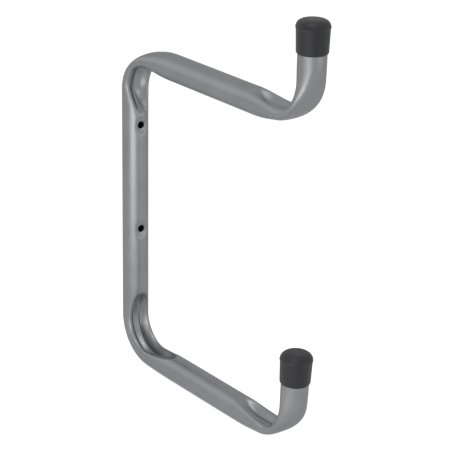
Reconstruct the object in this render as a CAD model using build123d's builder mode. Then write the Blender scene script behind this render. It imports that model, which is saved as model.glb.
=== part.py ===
from build123d import *
from collections import namedtuple
from math import cos, hypot, pi, radians, sin
import os

# Utility hook for a wall: one round steel tube, bent four times in one plane into two arms with
# upturned ends, and a rubber cap pushed onto each end. Millimetres.
# The wall is the plane Y = 0, the arms reach along -Y and +Z is up. The origin lies on the wall,
# midway between the two screw holes.

# Tube
tube_diameter = 22.2
tube_wall = 1.2

# Centre line of the tube
arm_spacing = 263.0
upper_reach = 232.5
lower_reach = 221.5
arm_droop = 0.4
upper_stub_height = 73.7
lower_stub_height = 71.2
upper_stub_lean = 0.7
lower_stub_lean = 2.8
bend_radius = 31.5

# Crushed bends: how far from the middle of a bend the tube is round again
stub_side_run = 42.0
arm_end_run = 60.0
wall_side_run = 47.0
arm_root_run = 52.5

# Hard crush, as pressed into both arm ends and the upper wall bend: shares of the radius, then
# the gap left between the walls and the height of the fold ridge on the trough's floor
hard_widening = 0.20
hard_outer_crush = 0.65
hard_inner_crush = 0.44
hard_trough_gap = 1.0
hard_ridge_height = 1.5

# Soft crush of the lower wall bend, which keeps a rounder outside and a deeper trough
soft_widening = 0.06
soft_outer_crush = 0.30
soft_inner_crush = 0.19
soft_trough_gap = 1.5
soft_ridge_height = 3.4

# Troughs on the inside of the bends, in shares of the section's width
trough_start_share = 0.50
trough_full_share = 0.92
outer_flattening = 0.08
ridge_share = 0.40
ridge_drift = 0.12

# Screw holes through the wall section, each in a pressed dimple
hole_diameter = 6.4
hole_spacing = 92.0
upper_hole_drop = 60.7
dimple_length = 16.4
dimple_depth = 2.8

# Rubber caps: a tapered skirt over the tube under a rounded head that stands a little proud
cap_mouth_diameter = 24.5
cap_neck_diameter = 25.6
cap_head_diameter = 26.4
cap_depth = 21.8
cap_head_drop = 2.0
cap_step_height = 1.6
cap_top_thickness = 3.6
cap_shoulder_radius = 4.4
cap_bevel_width = 0.75
cap_bevel_height = 1.1
cap_disc_diameter = 15.5
cap_disc_height = 0.4
cap_clearance = 0.05

# Points and sections used to draw the skins
points_each_quarter = 7
sections_each_side = 6
nudge = 0.002

os.makedirs("parts", exist_ok=True)

radius = tube_diameter / 2
middle_radius = radius - tube_wall / 2
upper_arm_z = hole_spacing / 2 + upper_hole_drop
lower_arm_z = upper_arm_z - arm_spacing


def polar_step(start, length, angle):
    """The point at a length from start, in the YZ plane, at an angle in degrees from +Y."""
    return (start[0] + length * cos(radians(angle)), start[1] + length * sin(radians(angle)))


# Corners of the centre line, from the upper end to the lower end
upper_wall_corner = (-radius, upper_arm_z)
lower_wall_corner = (-radius, lower_arm_z)
upper_arm_corner = polar_step(upper_wall_corner, upper_reach, 180 + arm_droop)
lower_arm_corner = polar_step(lower_wall_corner, lower_reach, 180 + arm_droop)
upper_end = polar_step(upper_arm_corner, upper_stub_height, 90 + upper_stub_lean)
lower_end = polar_step(lower_arm_corner, lower_stub_height, 90 + lower_stub_lean)

with BuildLine(Plane.YZ) as centre_line:
    FilletPolyline(
        upper_end,
        upper_arm_corner,
        upper_wall_corner,
        lower_wall_corner,
        lower_arm_corner,
        lower_end,
        radius=bend_radius,
    )
route = centre_line.wires()[0]

# Distances along the centre line at the middle of each bend
bend_middles = []
distance = 0.0
for edge in route.order_edges():
    if edge.geom_type == GeomType.CIRCLE:
        bend_middles.append(distance + edge.length / 2)
    distance += edge.length
route_length = distance

# A bend: its middle, which way its outside faces, the runs before and after it, and its crush,
# whose widening, outer and inner crush are shares of the radius
Crush = namedtuple("Crush", "widening outer inner gap ridge")
hard = Crush(hard_widening, hard_outer_crush, hard_inner_crush, hard_trough_gap, hard_ridge_height)
soft = Crush(soft_widening, soft_outer_crush, soft_inner_crush, soft_trough_gap, soft_ridge_height)
Bend = namedtuple("Bend", "middle outside before after crush")
bends = [
    Bend(bend_middles[0], 1, stub_side_run, arm_end_run, hard),
    Bend(bend_middles[1], -1, arm_root_run, wall_side_run, hard),
    Bend(bend_middles[2], -1, wall_side_run, arm_root_run, soft),
    Bend(bend_middles[3], -1, arm_end_run, stub_side_run, hard),
]


def station_plane(distance):
    """Plane across the tube at a distance along the centre line, with its X along the world's X."""
    point = route.position_at(distance, position_mode=PositionMode.LENGTH)
    direction = route.tangent_at(distance, position_mode=PositionMode.LENGTH)
    return Plane(origin=point, x_dir=(1, 0, 0), z_dir=direction)


def wall_point(bend, place, angle):
    """A point in the middle of the tube's wall, as lateral and outward offsets from the centre line.

    place runs from -1 at the start of the crush over 0 at the bend's middle to 1 at its end.
    """
    form = bend.crush
    crush = (1 - place**2) ** 3
    trough = (1 - place**4) ** 2
    across = cos(angle)
    side = (radius * (1 + form.widening * crush) - tube_wall / 2) * across
    if sin(angle) >= 0:
        outer_height = radius * (1 - form.outer * crush) - tube_wall / 2
        return side, outer_height * (sin(angle) + outer_flattening * crush * sin(3 * angle))
    crushed_outer = (radius * (1 - form.outer) - tube_wall / 2) * (1 - outer_flattening)
    floor_at_middle = crushed_outer - tube_wall - form.gap
    floor = (floor_at_middle + middle_radius) * trough - middle_radius
    inner_height = radius * (1 - form.inner * crush) - tube_wall / 2
    depth = max(inner_height + floor, 0)
    share = trough_start_share + (trough_full_share - trough_start_share) * trough
    bowl = max(1 - (across / share) ** 2, 0) ** 2
    ridge = max(1 - ((across - ridge_drift * place) / ridge_share) ** 2, 0) ** 3
    return side, inner_height * sin(angle) + depth * bowl - form.ridge * trough**3 * ridge


def skin_point(bend, place, angle, inset):
    """The wall point moved inwards by the inset, along the normal of its own section."""
    side, out = wall_point(bend, place, angle)
    side_before, out_before = wall_point(bend, place, angle - nudge)
    side_after, out_after = wall_point(bend, place, angle + nudge)
    run_side = side_after - side_before
    run_out = out_after - out_before
    run = hypot(run_side, run_out)
    return Vector(side - inset * run_out / run, bend.outside * (out + inset * run_side / run))


def section_quarter(bend, place, inset, start_angle):
    """A quarter of a section's outline. Every section has its points at the same angles."""
    step = pi / 2 / points_each_quarter
    angles = [start_angle + index * step for index in range(points_each_quarter + 1)]
    points = [skin_point(bend, place, angle, inset) for angle in angles]
    just_after = skin_point(bend, place, angles[0] + nudge, inset)
    just_before = skin_point(bend, place, angles[-1] - nudge, inset)
    directions = [(just_after - points[0]) / nudge, (points[-1] - just_before) / nudge]
    return Edge.make_spline(points, tangents=directions, parameters=angles, scale=False)


def section_face(bend, place, distance, inset):
    """The face of one section across the tube, bounded by its four quarters."""
    starts = [number * pi / 2 for number in range(4)]
    quarters = [section_quarter(bend, place, inset, start_angle) for start_angle in starts]
    return station_plane(distance).location * Face(Wire(quarters))


def build_skin(inset):
    """A solid bounded by the tube's skin at an inset: crushed bends with round runs between them."""
    starts = [bend.middle - bend.before for bend in bends]
    ends = [bend.middle + bend.after for bend in bends]
    with BuildPart() as skin:
        for bend in bends:
            sections = []
            for index in range(-sections_each_side, sections_each_side + 1):
                place = index / sections_each_side
                run = bend.before if index < 0 else bend.after
                sections.append(section_face(bend, place, bend.middle + place * run, inset))
            loft(sections)
        for start, end in zip([0.0] + ends, starts + [route_length]):
            bend = bends[0] if start == 0 else bends[ends.index(start)]
            round_face = section_face(bend, 1, start, inset)
            extrude(round_face, amount=end - start, dir=station_plane(start).z_dir)
    return skin.part


# The dimples: a ball pressed into the front of the wall section round each screw hole
dimple_radius = ((dimple_length / 2) ** 2 + dimple_depth**2) / (2 * dimple_depth)
dimple_centre_y = -tube_diameter + dimple_depth - dimple_radius
dimple_places = [(0, dimple_centre_y, hole_spacing / 2), (0, dimple_centre_y, -hole_spacing / 2)]

with BuildPart() as outer_form:
    add(build_skin(-tube_wall / 2))
    with Locations(*dimple_places):
        Sphere(dimple_radius, mode=Mode.SUBTRACT)

with BuildPart() as bore_form:
    add(build_skin(tube_wall / 2))
    with Locations(*dimple_places):
        Sphere(dimple_radius + tube_wall, mode=Mode.SUBTRACT)

with BuildPart() as bent_tube:
    add(outer_form.part)
    add(bore_form.part, mode=Mode.SUBTRACT)
    with BuildSketch(Plane.XZ):
        with Locations((0, hole_spacing / 2), (0, -hole_spacing / 2)):
            Circle(hole_diameter / 2)
    extrude(amount=tube_diameter, mode=Mode.SUBTRACT)

bent_tube.part.label = "bent_tube"
export_step(bent_tube.part, "parts/bent_tube.step")


# The cap, upright on a tube end at the origin, with a low disc on top
bore_radius = radius + cap_clearance
mouth_radius = cap_mouth_diameter / 2
neck_radius = cap_neck_diameter / 2
head_radius = cap_head_diameter / 2
disc_radius = cap_disc_diameter / 2

with BuildPart() as cap_form:
    with BuildSketch(Plane.XZ):
        with BuildLine():
            Polyline(
                (0, 0),
                (bore_radius, 0),
                (bore_radius, -cap_depth),
                (mouth_radius - cap_bevel_width, -cap_depth),
                (mouth_radius, -cap_depth + cap_bevel_height),
                (neck_radius, -cap_head_drop - cap_step_height),
                (head_radius, -cap_head_drop),
                (head_radius, cap_top_thickness),
                (disc_radius, cap_top_thickness),
                (disc_radius, cap_top_thickness + cap_disc_height),
                (0, cap_top_thickness + cap_disc_height),
                close=True,
            )
        make_face()
        shoulder = vertices().group_by(Axis.X)[-1].sort_by(Axis.Y)[-1]
        fillet(shoulder, cap_shoulder_radius)
    revolve(axis=Axis.Z)


def end_plane(distance, outward):
    """Plane on a tube end, with its Z pointing out of the tube."""
    across = station_plane(distance)
    return Plane(origin=across.origin, x_dir=(1, 0, 0), z_dir=across.z_dir * outward)


with BuildPart() as upper_cap:
    with Locations(end_plane(0, -1)):
        add(cap_form.part)

upper_cap.part.label = "upper_cap"
export_step(upper_cap.part, "parts/upper_cap.step")

with BuildPart() as lower_cap:
    with Locations(end_plane(route_length, 1)):
        add(cap_form.part)

lower_cap.part.label = "lower_cap"
export_step(lower_cap.part, "parts/lower_cap.step")
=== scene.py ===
from collections import namedtuple
from math import atan2, cos, pi, radians, sin, tan

import bpy
import numpy as np
from mathutils import Matrix, Vector


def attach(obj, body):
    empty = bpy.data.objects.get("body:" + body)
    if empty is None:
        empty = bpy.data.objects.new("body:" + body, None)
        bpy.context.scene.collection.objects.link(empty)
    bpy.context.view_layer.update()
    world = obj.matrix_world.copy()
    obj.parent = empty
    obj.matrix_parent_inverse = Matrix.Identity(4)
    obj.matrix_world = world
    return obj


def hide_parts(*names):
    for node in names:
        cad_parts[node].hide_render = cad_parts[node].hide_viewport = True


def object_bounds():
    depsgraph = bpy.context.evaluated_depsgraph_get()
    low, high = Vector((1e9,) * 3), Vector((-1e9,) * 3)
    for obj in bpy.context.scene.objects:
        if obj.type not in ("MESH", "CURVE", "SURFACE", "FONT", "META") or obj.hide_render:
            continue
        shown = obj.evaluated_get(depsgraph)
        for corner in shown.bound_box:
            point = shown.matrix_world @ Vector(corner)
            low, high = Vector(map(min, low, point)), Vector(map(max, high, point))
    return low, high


# Dresses the utility hook: a finer skin for the bent tube, moulded rubber caps, satin paint,
# a pale floor, soft studio light and the photograph's camera. Sizes are in millimetres until a
# mesh, a lamp or the camera is made from them. Those, and everything in a material, are in metres.

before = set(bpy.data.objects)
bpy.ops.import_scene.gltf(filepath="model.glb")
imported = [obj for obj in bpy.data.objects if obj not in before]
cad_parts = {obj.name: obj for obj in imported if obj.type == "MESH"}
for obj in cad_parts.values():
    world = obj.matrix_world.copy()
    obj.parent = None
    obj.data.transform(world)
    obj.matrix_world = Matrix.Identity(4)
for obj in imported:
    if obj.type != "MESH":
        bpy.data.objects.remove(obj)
cad_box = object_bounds()
mm = 0.001

# Tube and centre line, as in the solids
tube_diameter = 22.2
tube_wall = 1.2
arm_spacing = 263.0
upper_reach = 232.5
lower_reach = 221.5
arm_droop = 0.4
upper_stub_height = 73.7
lower_stub_height = 71.2
upper_stub_lean = 0.7
lower_stub_lean = 2.8
bend_radius = 31.5
radius = tube_diameter / 2
middle_radius = radius - tube_wall / 2

# Screw holes and the dimples pressed round them
hole_diameter = 6.4
hole_spacing = 92.0
upper_hole_drop = 60.7
dimple_length = 16.4
dimple_depth = 2.8
dimple_edge_softness = 0.6
dimple_front_margin = 2.0

upper_arm_z = hole_spacing / 2 + upper_hole_drop
lower_arm_z = upper_arm_z - arm_spacing

# Crushed bends: runs from the middle of each bend to the round tube
stub_side_run = 42.0
arm_end_run = 60.0
wall_side_run = 47.0
arm_root_run = 52.5
lower_arm_root_run = 58.0

# Width of the troughs on the inside of the bends, in shares of the section's width, and how much
# the outside is flattened
trough_start_share = 0.50
trough_full_share = 0.92
outer_flattening = 0.08

# The crush of a bend. At the bend's middle the section is widened, and its outer and inner half
# are flattened, by shares of the radius, with a gap left between the two walls. On the trough's
# floor lies a fold ridge: its height, its half width and place across in shares of the section's
# width, how far it moves across by the end of the run, and how fast it fades. Hold and ease say
# how long the trough keeps its depth and how gently it runs out.
Crush = namedtuple(
    "Crush",
    "widening outer inner gap ridge ridge_share ridge_centre ridge_drift ridge_fade"
    " hold ease creases",
)

# A crease in a trough: its depth, its half width and its place across at the bend's middle, both
# in shares of the section's width, how far it moves across by the end of the run, and where along
# the run it starts, is deepest and ends
Crease = namedtuple("Crease", "depth width centre slope start deepest end")
tip_crease = Crease(1.8, 0.17, -0.52, 0.0, 0.25, 0.72, 1.00)
mirrored_tip_crease = tip_crease._replace(start=-0.25, deepest=-0.72, end=-1.00)
root_creases = (
    Crease(2.1, 0.25, -0.93, 0.84, 0.10, 0.60, 1.02),
    Crease(1.9, 0.21, -0.66, 1.20, 0.38, 0.75, 1.02),
)
soft_crease = Crease(2.6, 0.13, 0.33, 0.0, -0.65, 0.10, 0.90)
crease_edge_sharpness = 3

upper_tip_crush = Crush(
    widening=0.20,
    outer=0.65,
    inner=0.44,
    gap=1.0,
    ridge=1.5,
    ridge_share=0.40,
    ridge_centre=0.0,
    ridge_drift=0.12,
    ridge_fade=3,
    hold=6,
    ease=1.6,
    creases=(tip_crease,),
)
lower_tip_crush = upper_tip_crush._replace(creases=(mirrored_tip_crease,))
root_crush = upper_tip_crush._replace(ridge=1.0, hold=4, ease=2, creases=root_creases)
soft_crush = Crush(
    widening=0.06,
    outer=0.30,
    inner=0.19,
    gap=1.0,
    ridge=4.6,
    ridge_share=0.58,
    ridge_centre=0.05,
    ridge_drift=0.0,
    ridge_fade=1.4,
    hold=6,
    ease=1.5,
    creases=(soft_crease,),
)

# Caps: a tapered skirt over the tube under a rounded head that stands a little proud
cap_mouth_diameter = 24.5
cap_neck_diameter = 25.6
cap_head_diameter = 26.4
cap_depth = 21.8
cap_head_drop = 2.0
cap_step_height = 1.6
cap_top_thickness = 3.6
cap_shoulder_radius = 4.4
cap_shoulder_drop = 1.5
cap_shoulder_point = (12.6, 2.5)
cap_bevel_width = 0.75
cap_bevel_height = 1.1
cap_disc_diameter = 15.5
cap_disc_height = 0.4
cap_disc_slope = 0.3
cap_clearance = 0.05

# Mesh density: points round the tube, and steps along it in the crushed and in the plain parts
points_around = 144
fine_step = 1.15
plain_step = 5.0
points_around_bore = 72
fine_bore_step = 3.0
plain_bore_step = 10.0
cap_segments = 96
cap_shoulder_steps = 14
hole_segments = 48

# How far the fine steps reach beyond a crush, and to either side of a screw hole
crush_margin = 2.0
hole_margin = 12.0

# Edges sharper than these, in degrees, stay crisp
tube_crisp_angle = 40
cap_crisp_angle = 50

# Turn in radians that finds a section's normal, how near the wall section's centre line counts as
# on it, how far a hole's cutter stands out, and how near points are welded, in metres
section_nudge = 0.002
on_wall_tolerance = 1.0
cutter_overhang = 5.0
weld_distance = 0.000001


def polar_step(start, length, angle):
    """The point at a length from start, in the YZ plane, at an angle in degrees from +Y."""
    turn = radians(angle)
    return np.array(start) + length * np.array([cos(turn), sin(turn)])


def route_corners():
    """Corners of the centre line as (y, z), from the upper end to the lower end."""
    upper_wall = (-radius, upper_arm_z)
    lower_wall = (-radius, lower_arm_z)
    upper_arm = polar_step(upper_wall, upper_reach, 180 + arm_droop)
    lower_arm = polar_step(lower_wall, lower_reach, 180 + arm_droop)
    upper_end = polar_step(upper_arm, upper_stub_height, 90 + upper_stub_lean)
    lower_end = polar_step(lower_arm, lower_stub_height, 90 + lower_stub_lean)
    corners = (upper_end, upper_arm, upper_wall, lower_wall, lower_arm, lower_end)
    return [np.array(corner) for corner in corners]


# A straight or an arc of the centre line
Run = namedtuple("Run", "start heading length curvature")


def route_runs():
    """The straights and arcs of the centre line, from the upper end to the lower end."""
    corners = route_corners()
    runs = []
    place = corners[0]
    for index in range(1, len(corners)):
        ahead = corners[index] - corners[index - 1]
        heading = atan2(ahead[1], ahead[0])
        setback = 0.0
        turn = 0.0
        if index < len(corners) - 1:
            beyond = corners[index + 1] - corners[index]
            turn = (atan2(beyond[1], beyond[0]) - heading + pi) % (2 * pi) - pi
            setback = bend_radius * tan(abs(turn) / 2)
        straight = float(np.linalg.norm(corners[index] - place)) - setback
        runs.append(Run(place, heading, straight, 0.0))
        if turn:
            start = place + straight * np.array([cos(heading), sin(heading)])
            curvature = turn / abs(turn) / bend_radius
            runs.append(Run(start, heading, bend_radius * abs(turn), curvature))
            place = corners[index] + setback * beyond / np.linalg.norm(beyond)
    return runs


route = route_runs()
route_length = sum(run.length for run in route)


def route_at(distance):
    """Point (y, z) and heading of the centre line at a distance from the upper end."""
    passed = 0.0
    for run in route:
        if distance <= passed + run.length or run is route[-1]:
            break
        passed += run.length
    along = distance - passed
    cosine, sine = cos(run.heading), sin(run.heading)
    if run.curvature == 0:
        return run.start + along * np.array([cosine, sine]), run.heading
    turned = run.heading + along * run.curvature
    chord = np.array([sin(turned) - sine, cosine - cos(turned)]) / run.curvature
    return run.start + chord, turned


# A bend: its middle, which way its outside faces, the runs before and after it, and its crush
Bend = namedtuple("Bend", "middle outside before after crush")


def find_bends():
    """The four bends, in order from the upper end."""
    middles = []
    passed = 0.0
    for run in route:
        if run.curvature:
            middles.append(passed + run.length / 2)
        passed += run.length
    return [
        Bend(middles[0], 1, stub_side_run, arm_end_run, upper_tip_crush),
        Bend(middles[1], -1, arm_root_run, wall_side_run, root_crush),
        Bend(middles[2], -1, wall_side_run, lower_arm_root_run, soft_crush),
        Bend(middles[3], -1, arm_end_run, stub_side_run, lower_tip_crush),
    ]


bends = find_bends()


def bend_near(distance):
    """The bend nearest to a distance along the centre line, and the place in its crush.

    The place runs from -1 at the start of the crush over 0 at the bend's middle to 1 at its end,
    where the tube is round, and keeps that value beyond.
    """
    nearest = min(bends, key=lambda bend: abs(distance - bend.middle))
    run = nearest.before if distance < nearest.middle else nearest.after
    return nearest, max(-1.0, min(1.0, (distance - nearest.middle) / run))


def crease_depth(crease, place, across):
    """How deep a crease is at a place along the crush, at each place across the section."""
    before_deepest = (place < crease.deepest) == (crease.start < crease.deepest)
    reach = crease.deepest - (crease.start if before_deepest else crease.end)
    fading = max(1 - ((place - crease.deepest) / reach) ** 2, 0) ** 2
    off = (across - crease.centre - crease.slope * place) / crease.width
    return crease.depth * fading * np.exp(-(off**2))


def wall_section(bend, place, angles):
    """Middle of the wall at each angle, as lateral and outward offsets from the centre line.

    The formula is that of the solids, with the creases added.
    """
    form = bend.crush
    crush = (1 - place**2) ** 3
    trough = (1 - abs(place) ** form.hold) ** form.ease
    across = np.cos(angles)
    up = np.sin(angles)
    side = (radius * (1 + form.widening * crush) - tube_wall / 2) * across
    outer_height = radius * (1 - form.outer * crush) - tube_wall / 2
    outer = outer_height * (up + outer_flattening * crush * np.sin(3 * angles))
    crushed_outer = (radius * (1 - form.outer) - tube_wall / 2) * (1 - outer_flattening)
    floor_at_middle = crushed_outer - tube_wall - form.gap
    floor = (floor_at_middle + middle_radius) * trough - middle_radius
    inner_height = radius * (1 - form.inner * crush) - tube_wall / 2
    depth = max(inner_height + floor, 0)
    share = trough_start_share + (trough_full_share - trough_start_share) * trough
    bowl = np.clip(1 - (across / share) ** 2, 0, None) ** 2
    ridge_place = form.ridge_centre + form.ridge_drift * place
    ridge = np.clip(1 - ((across - ridge_place) / form.ridge_share) ** 2, 0, None) ** 3
    inner = inner_height * up + depth * bowl - form.ridge * trough**form.ridge_fade * ridge
    on_inside = np.clip(-up * crease_edge_sharpness, 0, 1)
    for crease in form.creases:
        inner = inner + crease_depth(crease, place, across) * on_inside
    return side, np.where(up >= 0, outer, inner)


def skin_ring(distance, count, inset):
    """Points round the wall at a distance, moved inwards by the inset, as rows of x, y and z."""
    bend, place = bend_near(distance)
    angles = bend.outside * np.arange(count) * 2 * pi / count
    nudge = section_nudge * bend.outside
    side, out = wall_section(bend, place, angles)
    side_before, out_before = wall_section(bend, place, angles - nudge)
    side_after, out_after = wall_section(bend, place, angles + nudge)
    run_side = (side_after - side_before) * bend.outside
    run_out = (out_after - out_before) * bend.outside
    run = np.hypot(run_side, run_out)
    side = side - inset * run_out / run
    out = bend.outside * (out + inset * run_side / run)
    point, heading = route_at(distance)
    y = point[0] + out * sin(heading)
    z = point[1] - out * cos(heading)
    return np.column_stack([side, y, z])


def press_dimples(points, inset):
    """Moves the front of the wall section back to a ball pressed in round each screw hole.

    The larger of the two depths is taken, softened where they cross.
    """
    ball_radius = ((dimple_length / 2) ** 2 + dimple_depth**2) / (2 * dimple_depth)
    ball_y = -tube_diameter + dimple_depth - ball_radius
    reach = ball_radius + inset + tube_wall / 2
    x, y, z = points.T
    for hole_z in (hole_spacing / 2, -hole_spacing / 2):
        room = reach**2 - x**2 - (z - hole_z) ** 2
        ball = ball_y + np.sqrt(np.clip(room, 0, None))
        pressed = (y + ball + np.sqrt((y - ball) ** 2 + dimple_edge_softness**2)) / 2
        near = (room > 0) & (y < -radius - dimple_front_margin)
        y = np.where(near, np.maximum(y, pressed), y)
    return np.column_stack([x, y, z])


def stations(fine, plain):
    """Distances of the rings along the tube, with fine steps in the crushes and at the holes."""
    marks = [0.0]
    while marks[-1] < route_length:
        here = marks[-1]
        bend = bend_near(here)[0]
        start = bend.middle - bend.before - crush_margin
        end = bend.middle + bend.after + crush_margin
        y, z = route_at(here)[0]
        on_wall = abs(y + radius) < on_wall_tolerance
        at_hole = on_wall and abs(abs(z) - hole_spacing / 2) < hole_margin
        marks.append(here + (fine if start < here < end or at_hole else plain))
    return [mark * route_length / marks[-1] for mark in marks]


def grid_faces(rings, count, start, flip):
    """Quads between neighbouring rings of count points."""
    faces = []
    for ring in range(rings - 1):
        for index in range(count):
            following = (index + 1) % count
            low = start + ring * count
            quad = (low + index, low + following, low + count + following, low + count + index)
            faces.append(quad[::-1] if flip else quad)
    return faces


def new_object(name, points, faces):
    """An object in the scene, with a mesh from points in metres."""
    mesh = bpy.data.meshes.new(name)
    mesh.from_pydata([tuple(point) for point in points], [], faces)
    mesh.validate()
    mesh.update()
    piece = bpy.data.objects.new(name, mesh)
    bpy.context.scene.collection.objects.link(piece)
    return piece


def smooth_with_edges(piece, limit):
    """Smooth shading, with edges sharper than a limit in degrees kept crisp."""
    mesh = piece.data
    mesh.shade_smooth()
    mesh.set_sharp_from_angle(angle=radians(limit))


def apply_modifiers(piece):
    """Replaces a piece's mesh with what its modifiers make of it."""
    bpy.context.view_layer.update()
    graph = bpy.context.evaluated_depsgraph_get()
    made = bpy.data.meshes.new_from_object(piece.evaluated_get(graph))
    piece.modifiers.clear()
    piece.data = made


def hole_cutter(hole_z):
    """A round bar along Y, through a screw hole at a height and well past both of its ends."""
    turns = [2 * pi * index / hole_segments for index in range(hole_segments)]
    points = []
    for y in (-tube_diameter - cutter_overhang, cutter_overhang):
        for turn in turns:
            x = hole_diameter / 2 * cos(turn)
            z = hole_z + hole_diameter / 2 * sin(turn)
            points.append((x * mm, y * mm, z * mm))
    faces = [
        tuple(range(hole_segments)),
        tuple(range(hole_segments, 2 * hole_segments))[::-1],
    ]
    faces += grid_faces(2, hole_segments, 0, True)
    return new_object("hole_cutter", points, faces)


def cut_holes(piece):
    """Cuts the two screw holes through the wall section."""
    cutters = [hole_cutter(hole_spacing / 2), hole_cutter(-hole_spacing / 2)]
    for cutter in cutters:
        cut = piece.modifiers.new("hole", "BOOLEAN")
        cut.operation = "DIFFERENCE"
        cut.solver = "EXACT"
        cut.object = cutter
    apply_modifiers(piece)
    for cutter in cutters:
        bpy.data.objects.remove(cutter)


def make_tube():
    """The bent tube: outer skin and bore, joined by a rim at each end, with its screw holes."""
    outer = []
    for mark in stations(fine_step, plain_step):
        ring = skin_ring(mark, points_around, -tube_wall / 2)
        outer.append(press_dimples(ring, -tube_wall / 2))
    bore = []
    for mark in stations(fine_bore_step, plain_bore_step):
        ring = skin_ring(mark, points_around_bore, tube_wall / 2)
        bore.append(press_dimples(ring, tube_wall / 2))
    outer_count = len(outer) * points_around
    faces = grid_faces(len(outer), points_around, 0, False)
    faces += grid_faces(len(bore), points_around_bore, outer_count, True)
    each = points_around // points_around_bore
    for end, flip in ((0, True), (1, False)):
        outer_start = end * (len(outer) - 1) * points_around
        bore_start = outer_count + end * (len(bore) - 1) * points_around_bore
        for index in range(points_around_bore):
            following = (index + 1) % points_around_bore
            rim = [outer_start + index * each + step for step in range(each)]
            rim.append(outer_start + following * each)
            rim += [bore_start + following, bore_start + index]
            faces.append(tuple(rim[::-1]) if flip else tuple(rim))
    piece = new_object("tube_skin", np.vstack(outer + bore) * mm, faces)
    cut_holes(piece)
    smooth_with_edges(piece, tube_crisp_angle)
    return piece


def lathe(name, profile, plane):
    """A closed turned piece from a profile of (radius, height), placed on a plane matrix."""
    points = []
    faces = []
    for index in range(cap_segments):
        turn = 2 * pi * index / cap_segments
        for distance, height in profile:
            local = Vector((distance * cos(turn), distance * sin(turn), height)) * mm
            points.append(plane @ local)
    count = len(profile)
    for index in range(cap_segments):
        following = (index + 1) % cap_segments
        for step in range(count - 1):
            here = (index * count + step, index * count + step + 1)
            there = (following * count + step, following * count + step + 1)
            faces.append((here[0], there[0], there[1], here[1]))
    piece = new_object(name, points, faces)
    weld = piece.modifiers.new("weld", "WELD")
    weld.merge_threshold = weld_distance
    apply_modifiers(piece)
    return piece


def curve(start, control, end, steps):
    """Points of a quadratic curve from start to end, drawn towards a control point."""
    start, control, end = (np.array(point, float) for point in (start, control, end))
    shares = [step / steps for step in range(steps + 1)]
    return [tuple((1 - t) ** 2 * start + 2 * t * (1 - t) * control + t**2 * end) for t in shares]


def rounded(corner, before, after, size, steps):
    """Points that round a profile's corner between its neighbours."""
    corner, before, after = (np.array(point, float) for point in (corner, before, after))
    back = before - corner
    on = after - corner
    start = corner + back / np.linalg.norm(back) * size
    end = corner + on / np.linalg.norm(on) * size
    return curve(start, corner, end, steps)


def cap_profile():
    """Outline of a cap as (radius, height), from its bore's end over the mouth to its top."""
    bore_radius = radius + cap_clearance
    mouth = cap_mouth_diameter / 2
    neck = cap_neck_diameter / 2
    head = cap_head_diameter / 2
    disc = cap_disc_diameter / 2
    disc_top = cap_top_thickness + cap_disc_height
    shoulder_start = (head, -cap_shoulder_drop)
    # Each corner, how much of it is rounded off, and in how many steps
    corners = [
        ((0, 0), 0, 0),
        ((bore_radius, 0), 0.3, 2),
        ((bore_radius, -cap_depth), 0.12, 2),
        ((mouth - cap_bevel_width, -cap_depth), 0.15, 3),
        ((mouth, -cap_depth + cap_bevel_height), 0.5, 4),
        ((neck, -cap_head_drop - cap_step_height), 0.9, 5),
        ((head, -cap_head_drop), 0.5, 5),
        (shoulder_start, 0, 0),
        ((head - cap_shoulder_radius, cap_top_thickness), 0, 0),
        ((disc, cap_top_thickness), 0.3, 4),
        ((disc - cap_disc_slope, disc_top), 0.3, 4),
        ((0, disc_top), 0, 0),
    ]
    profile = []
    for index, (corner, size, steps) in enumerate(corners):
        if corner == shoulder_start:
            shoulder_end = corners[index + 1][0]
            profile += curve(corner, cap_shoulder_point, shoulder_end, cap_shoulder_steps)[:-1]
        elif size:
            profile += rounded(corner, corners[index - 1][0], corners[index + 1][0], size, steps)
        else:
            profile.append(corner)
    return profile


def end_matrix(distance, outward):
    """Matrix of the plane on a tube end, in metres, with its Z pointing out of the tube."""
    point, heading = route_at(distance)
    out = Vector((0, cos(heading), sin(heading))) * outward
    side = Vector((1, 0, 0))
    matrix = Matrix((side, out.cross(side), out)).transposed().to_4x4()
    matrix.translation = Vector((0, point[0], point[1])) * mm
    return matrix


def make_cap(name, distance, outward):
    """A rubber cap on a tube end."""
    piece = lathe(name, cap_profile(), end_matrix(distance, outward))
    smooth_with_edges(piece, cap_crisp_angle)
    return piece


# Parts of a texture's values that a colour ramp and a range are spread over
ramp_span = (0.35, 0.65)
range_span = (0.3, 0.7)

# Sockets of a colour mix and of a shader mix, by number, because their names repeat
mix_factor, mix_first, mix_second, mix_result = 0, 6, 7, 2
shader_first, shader_second = 1, 2

# Distance between neighbouring nodes in the node editor
node_spacing = 200


def node(tree, kind, place, **values):
    """A shader node at a place in the node editor, with some of its inputs set."""
    made = tree.nodes.new(kind)
    made.location = place
    for name, value in values.items():
        made.inputs[name].default_value = value
    return made


def new_material(name):
    """A material with an empty tree but for its output and its main shader."""
    material = bpy.data.materials.new(name)
    material.use_nodes = True
    tree = material.node_tree
    tree.nodes.clear()
    output = node(tree, "ShaderNodeOutputMaterial", (600, 0))
    shader = node(tree, "ShaderNodeBsdfPrincipled", (300, 0))
    tree.links.new(shader.outputs["BSDF"], output.inputs["Surface"])
    return material, tree, shader


def noise(tree, place, coordinates, scale, detail):
    """A noise texture in object coordinates, its scale in features to a metre."""
    made = node(tree, "ShaderNodeTexNoise", place, Scale=scale, Detail=detail)
    tree.links.new(coordinates.outputs["Object"], made.inputs["Vector"])
    return made


def ramp(tree, place, source, low, high):
    """A colour ramp from low to high over the middle of a texture's values."""
    made = node(tree, "ShaderNodeValToRGB", place)
    made.color_ramp.elements[0].position = ramp_span[0]
    made.color_ramp.elements[0].color = (*low, 1)
    made.color_ramp.elements[1].position = ramp_span[1]
    made.color_ramp.elements[1].color = (*high, 1)
    tree.links.new(source, made.inputs["Fac"])
    return made


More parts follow.
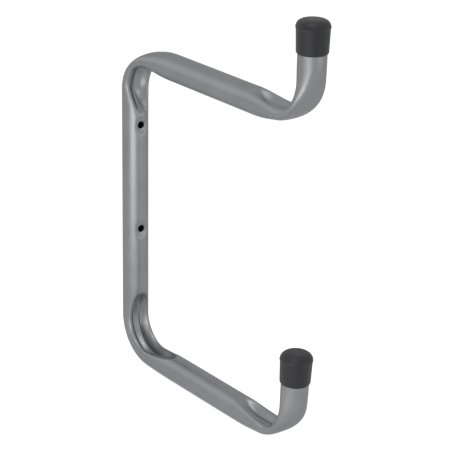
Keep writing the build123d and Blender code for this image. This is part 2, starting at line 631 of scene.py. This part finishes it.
def spread(tree, place, source, low, high):
    """Maps the middle of a texture's values to a range of numbers."""
    made = node(tree, "ShaderNodeMapRange", place)
    made.inputs["From Min"].default_value = range_span[0]
    made.inputs["From Max"].default_value = range_span[1]
    made.inputs["To Min"].default_value = low
    made.inputs["To Max"].default_value = high
    tree.links.new(source, made.inputs["Value"])
    return made


def bump(tree, place, source, strength, distance):
    """A bump from a texture's values, its depth in metres."""
    made = node(tree, "ShaderNodeBump", place, Strength=strength, Distance=distance)
    tree.links.new(source, made.inputs["Height"])
    return made


def silver_paint():
    """Satin silver-grey paint: metal flake, a faint orange peel and soft cloudiness."""
    material, tree, shader = new_material("silver_paint")
    coordinates = node(tree, "ShaderNodeTexCoord", (-1100, 0))
    clouds = noise(tree, (-900, 250), coordinates, scale=45, detail=3)
    flakes = noise(tree, (-900, 0), coordinates, scale=2600, detail=1)
    peel = noise(tree, (-900, -250), coordinates, scale=420, detail=2)
    dark, light = (0.203, 0.205, 0.213), (0.228, 0.230, 0.239)
    colour = ramp(tree, (-600, 300), clouds.outputs["Fac"], dark, light)
    dull, bright = (0.93, 0.93, 0.93), (1.06, 1.06, 1.06)
    glint = ramp(tree, (-600, 60), flakes.outputs["Fac"], dull, bright)
    mixed = node(tree, "ShaderNodeMix", (-300, 250))
    mixed.data_type = "RGBA"
    mixed.blend_type = "MULTIPLY"
    mixed.inputs[mix_factor].default_value = 1.0
    tree.links.new(colour.outputs["Color"], mixed.inputs[mix_first])
    tree.links.new(glint.outputs["Color"], mixed.inputs[mix_second])
    tree.links.new(mixed.outputs[mix_result], shader.inputs["Base Color"])
    rough = spread(tree, (-300, 0), clouds.outputs["Fac"], low=0.36, high=0.42)
    tree.links.new(rough.outputs["Result"], shader.inputs["Roughness"])
    wave = bump(tree, (0, -250), peel.outputs["Fac"], strength=0.14, distance=0.00012)
    tree.links.new(wave.outputs["Normal"], shader.inputs["Normal"])
    shader.inputs["Metallic"].default_value = 0.8
    shader.inputs["Specular IOR Level"].default_value = 0.3
    shader.inputs["Specular Tint"].default_value = (0.62, 0.62, 0.62, 1)
    return material


def black_rubber():
    """Moulded black rubber: nearly matt, with a fine grain and a dusty bloom."""
    material, tree, shader = new_material("black_rubber")
    coordinates = node(tree, "ShaderNodeTexCoord", (-1100, 0))
    bloom = noise(tree, (-900, 250), coordinates, scale=120, detail=3)
    grain = noise(tree, (-900, -150), coordinates, scale=1500, detail=3)
    dark, light = (0.007, 0.007, 0.011), (0.011, 0.011, 0.015)
    colour = ramp(tree, (-600, 300), bloom.outputs["Fac"], dark, light)
    tree.links.new(colour.outputs["Color"], shader.inputs["Base Color"])
    rough = spread(tree, (-300, 0), bloom.outputs["Fac"], low=0.50, high=0.58)
    tree.links.new(rough.outputs["Result"], shader.inputs["Roughness"])
    wave = bump(tree, (0, -250), grain.outputs["Fac"], strength=0.35, distance=0.00008)
    tree.links.new(wave.outputs["Normal"], shader.inputs["Normal"])
    shader.inputs["Specular IOR Level"].default_value = 0.36
    return material


def seen_directly(tree, place):
    """One where the camera sees a surface, directly, mirrored or through glass, and else zero."""
    path = node(tree, "ShaderNodeLightPath", place)
    found = path.outputs["Is Camera Ray"]
    for step, kind in enumerate(("Is Glossy Ray", "Is Transmission Ray")):
        shifted = (place[0] + node_spacing * (step + 1), place[1])
        either = node(tree, "ShaderNodeMath", shifted)
        either.operation = "MAXIMUM"
        tree.links.new(found, either.inputs[0])
        tree.links.new(path.outputs[kind], either.inputs[1])
        found = either.outputs["Value"]
    return found


# Half the floor's width in metres, and its glow, which lifts its pale grey to white
floor_reach = 6.0
floor_glow = 0.85


def make_floor():
    """A wide pale floor at the hook's lowest point, white to the camera but for the shadow."""
    low = cad_box[0][2]
    corners = [(-1, -1), (1, -1), (1, 1), (-1, 1)]
    points = [(across * floor_reach, along * floor_reach, low) for across, along in corners]
    floor = new_object("floor", points, [(0, 1, 2, 3)])
    material, tree, shader = new_material("floor_paint")
    coordinates = node(tree, "ShaderNodeTexCoord", (-1100, 0))
    clouds = noise(tree, (-900, 250), coordinates, scale=3, detail=2)
    colour = ramp(tree, (-600, 300), clouds.outputs["Fac"], (0.5, 0.5, 0.5), (0.51, 0.51, 0.51))
    tree.links.new(colour.outputs["Color"], shader.inputs["Base Color"])
    shader.inputs["Roughness"].default_value = 0.9
    shader.inputs["Specular IOR Level"].default_value = 0.0
    shader.inputs["Emission Color"].default_value = (1, 1, 1, 1)
    direct = seen_directly(tree, (-750, -200))
    glow = node(tree, "ShaderNodeMath", (-150, -200))
    glow.operation = "MULTIPLY"
    glow.inputs[1].default_value = floor_glow
    tree.links.new(direct, glow.inputs[0])
    tree.links.new(glow.outputs["Value"], shader.inputs["Emission Strength"])
    floor.data.materials.append(material)


# The photograph's camera, in radians, millimetres and pixels. The angles and the place were fitted
# to the photograph.
view_azimuth = radians(-36.427)
view_elevation = radians(19.894)
view_roll = radians(0.855)
view_distance = 1513.6
view_target = Vector((0, -142.28, -7.5))
image_size = 453
focal_pixels = 1900
sensor_width = 36.0

# How far the camera sees, in metres
view_reach = 50


def view_axes():
    """Right, up and backward directions of the camera before its roll."""
    back = Vector(
        (
            sin(view_azimuth) * cos(view_elevation),
            -cos(view_azimuth) * cos(view_elevation),
            sin(view_elevation),
        )
    )
    right = Vector((cos(view_azimuth), sin(view_azimuth), 0))
    return right, back.cross(right), back


def make_camera():
    """The camera at the photograph's viewing angle."""
    right, up, back = view_axes()
    rolled_right = cos(view_roll) * right + sin(view_roll) * up
    rolled_up = -sin(view_roll) * right + cos(view_roll) * up
    matrix = Matrix((rolled_right, rolled_up, back)).transposed().to_4x4()
    matrix.translation = (view_target + view_distance * back) * mm
    data = bpy.data.cameras.new("camera")
    data.sensor_width = sensor_width
    data.lens = focal_pixels / image_size * sensor_width
    data.clip_end = view_reach
    camera = bpy.data.objects.new("camera", data)
    camera.matrix_world = matrix
    bpy.context.scene.collection.objects.link(camera)
    bpy.context.scene.camera = camera


# Rectangular lamps: place, the point each faces, width and height, all in millimetres, and power.
# Key draws the highlight down the wall section and front the one on the stubs. Back draws the
# highlight along the arms, and fill and top are wide and even.
Panel = namedtuple("Panel", "name place aim width height power")
panels = [
    Panel("key", (-395, -311, -98), (0, -120, -98), 420, 130, 0.6),
    Panel("front", (-520, -540, -90), (0, -240, -90), 420, 190, 0.56),
    Panel("fill", (500, -1300, 250), (0, -120, 0), 900, 800, 2.4),
    Panel("back", (-850, 1200, 620), (0, -120, 0), 1300, 900, 2.6),
    Panel("top", (-500, -500, 1700), (0, -120, 0), 1200, 1200, 14),
]


def make_light():
    """The studio's lamps. The camera doesn't see them."""
    for panel in panels:
        data = bpy.data.lights.new(panel.name, "AREA")
        data.shape = "RECTANGLE"
        data.size = panel.width * mm
        data.size_y = panel.height * mm
        data.energy = panel.power
        lamp = bpy.data.objects.new(panel.name, data)
        lamp.location = Vector(panel.place) * mm
        facing = Vector(panel.place) - Vector(panel.aim)
        lamp.rotation_euler = facing.to_track_quat("Z", "Y").to_euler()
        lamp.visible_camera = False
        bpy.context.scene.collection.objects.link(lamp)


# The world's even light, slightly cool, and its strength
world_colour = (0.95, 0.97, 1, 1)
world_strength = 0.34


def make_world():
    """White where the camera sees it, directly or mirrored, and an even light elsewhere."""
    world = bpy.data.worlds.new("studio")
    bpy.context.scene.world = world
    world.use_nodes = True
    tree = world.node_tree
    tree.nodes.clear()
    output = node(tree, "ShaderNodeOutputWorld", (600, 0))
    seen = node(tree, "ShaderNodeBackground", (100, 150), Color=(1, 1, 1, 1), Strength=1.0)
    light = node(tree, "ShaderNodeBackground", (100, -150), Color=world_colour)
    light.inputs["Strength"].default_value = world_strength
    mixed = node(tree, "ShaderNodeMixShader", (350, 0))
    direct = seen_directly(tree, (-400, 300))
    tree.links.new(direct, mixed.inputs["Fac"])
    tree.links.new(light.outputs["Background"], mixed.inputs[shader_first])
    tree.links.new(seen.outputs["Background"], mixed.inputs[shader_second])
    tree.links.new(mixed.outputs["Shader"], output.inputs["Surface"])


def dress(piece, cad_node, material):
    """Puts a piece in place of a CAD node, with its material."""
    piece.data.materials.clear()
    piece.data.materials.append(material)
    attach(piece, "root")
    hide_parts(cad_node)


paint = silver_paint()
rubber = black_rubber()
for name, cad_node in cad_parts.items():
    cad_node.data.materials.clear()
    cad_node.data.materials.append(paint if name == "bent_tube" else rubber)

dress(make_tube(), "bent_tube", paint)
dress(make_cap("upper_cap_skin", 0.0, -1), "upper_cap", rubber)
dress(make_cap("lower_cap_skin", route_length, 1), "lower_cap", rubber)

make_floor()
make_camera()
make_light()
make_world()
bpy.context.scene.view_settings.view_transform = "Standard"
